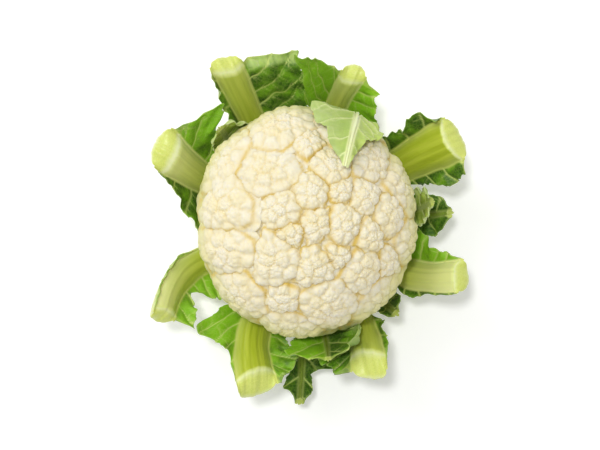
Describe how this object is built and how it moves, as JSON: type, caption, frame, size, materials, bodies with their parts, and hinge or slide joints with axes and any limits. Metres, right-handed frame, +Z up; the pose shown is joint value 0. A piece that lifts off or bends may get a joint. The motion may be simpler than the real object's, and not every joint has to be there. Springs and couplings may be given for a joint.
{
  "type": "cauliflower",
  "caption": "Trimmed cauliflower head standing on its cut stalk, with a domed creamy curd of separate florets ringed by thick-ribbed green leaves cut short.",
  "frame": {"origin": "centre of the stalk's flat cut face, which the head stands on", "axes": "+Z up through the stalk and the curd; +Y towards the two large leaves whose blades meet, the way the head is longest"},
  "size_m": [0.2305, 0.2587, 0.1389],
  "materials": {
    "curd": "matt, creamy white, finely grained, with a faint waxy glow",
    "outer_leaf": "satin green blade with pale veins and a thick lime-green rib",
    "young_leaf": "satin pale lime-green",
    "stalk": "moist cut face and waxy pale green bark"
  },
  "bodies": {
    "root": {"stalk": "stalk", "floret_01": "curd", "floret_02": "curd", "floret_03": "curd", "floret_04": "curd", "floret_05": "curd", "floret_06": "curd", "floret_07": "curd", "floret_08": "curd", "floret_09": "curd", "floret_10": "curd", "floret_11": "curd", "floret_12": "curd", "floret_13": "curd", "floret_14": "curd", "floret_15": "curd", "floret_16": "curd", "floret_17": "curd", "floret_18": "curd", "floret_19": "curd", "floret_20": "curd", "floret_21": "curd", "floret_22": "curd", "floret_23": "curd", "floret_24": "curd", "floret_25": "curd", "floret_26": "curd", "floret_27": "curd", "floret_28": "curd", "floret_29": "curd", "floret_30": "curd", "floret_31": "curd", "floret_32": "curd", "floret_33": "curd", "floret_34": "curd", "floret_35": "curd", "floret_36": "curd", "floret_37": "curd", "floret_38": "curd", "floret_39": "curd", "floret_40": "curd", "outer_leaf_1": "outer_leaf", "outer_leaf_2": "outer_leaf", "outer_leaf_3": "outer_leaf", "outer_leaf_4": "outer_leaf", "outer_leaf_5": "outer_leaf", "outer_leaf_6": "outer_leaf", "outer_leaf_7": "outer_leaf", "outer_leaf_8": "outer_leaf", "middle_leaf_1": "outer_leaf", "middle_leaf_2": "outer_leaf", "middle_leaf_3": "outer_leaf", "inner_leaf_1": "young_leaf", "inner_leaf_2": "young_leaf", "inner_leaf_3": "young_leaf", "inner_leaf_4": "young_leaf"}
  },
  "joints": []
}
